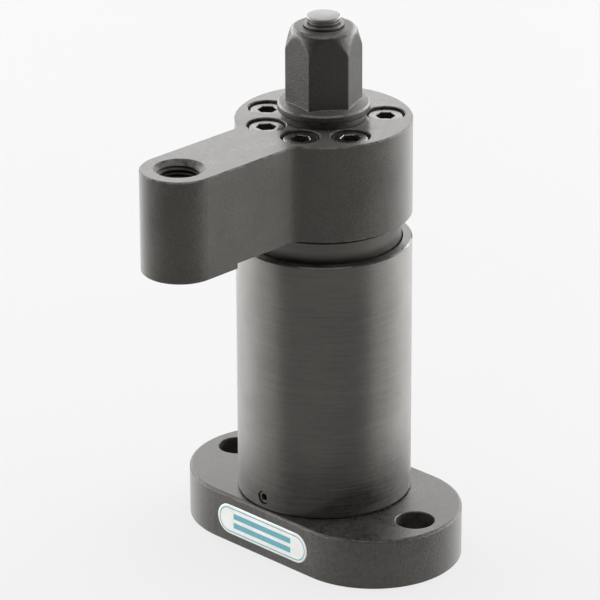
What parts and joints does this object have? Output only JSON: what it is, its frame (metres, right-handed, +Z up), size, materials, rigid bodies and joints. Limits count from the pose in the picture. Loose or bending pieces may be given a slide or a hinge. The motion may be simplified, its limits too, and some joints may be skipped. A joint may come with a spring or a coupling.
{
  "type": "swing clamp cylinder",
  "caption": "Upright swing clamp: a flanged steel cylinder whose collar nut draws a swinging arm with a threaded tip hole down onto a workpiece.",
  "frame": {"origin": "centre of the base's underside, on the cylinder's axis", "axes": "+Z up along the cylinder's axis, X along the base through both mounting holes, the raised and open arm along -Y"},
  "size_m": [0.09, 0.0925, 0.1581],
  "materials": {
    "oxide_steel": "black oxide, satin, with bright broken edges",
    "turned_steel": "black oxide over fine turning marks",
    "screw_steel": "black oxide, smooth",
    "bright_steel": "ground steel",
    "spring_steel": "oiled spring steel",
    "bush_bronze": "turned bronze",
    "seal_rubber": "matt",
    "label_film": "white film with a teal design"
  },
  "bodies": {
    "base": {"base_flange": "oxide_steel", "label_plate": "label_film", "body_tube": "turned_steel", "tube_set_screw": "screw_steel", "wiper_ring": "seal_rubber", "spindle": "bright_steel", "spindle_key_pin": "bright_steel", "stop_pin": "bright_steel", "return_spring": "spring_steel", "retaining_ring": "spring_steel"},
    "lift": {"thrust_washer": "turned_steel", "spring_washer": "bush_bronze"},
    "nut": {"hex_nut": "oxide_steel"},
    "arm": {"swing_sleeve": "turned_steel", "guide_bush": "bush_bronze", "swing_arm": "oxide_steel", "arm_screws": "screw_steel"}
  },
  "joints": [
    {"name": "stroke", "type": "slide", "parent": "base", "child": "lift", "axis": [0, 0, 1], "range_m": [-0.007, 0], "stiffness_N_per_m": 5300, "springref_m": 0.009, "deforming": ["return_spring"]},
    {"name": "nut_turn", "type": "hinge", "parent": "lift", "child": "nut", "pos_m": [0, 0, 0.13], "axis": [0, 0, 1], "range_deg": [-1440, 0]},
    {"name": "swing", "type": "hinge", "parent": "lift", "child": "arm", "pos_m": [0, 0, 0.1], "axis": [0, 0, 1], "range_deg": [-90, 0]}
  ],
  "couplings": [
    {"joint": "nut_turn", "follows": "stroke", "rad_per_m": 3590.4}
  ]
}
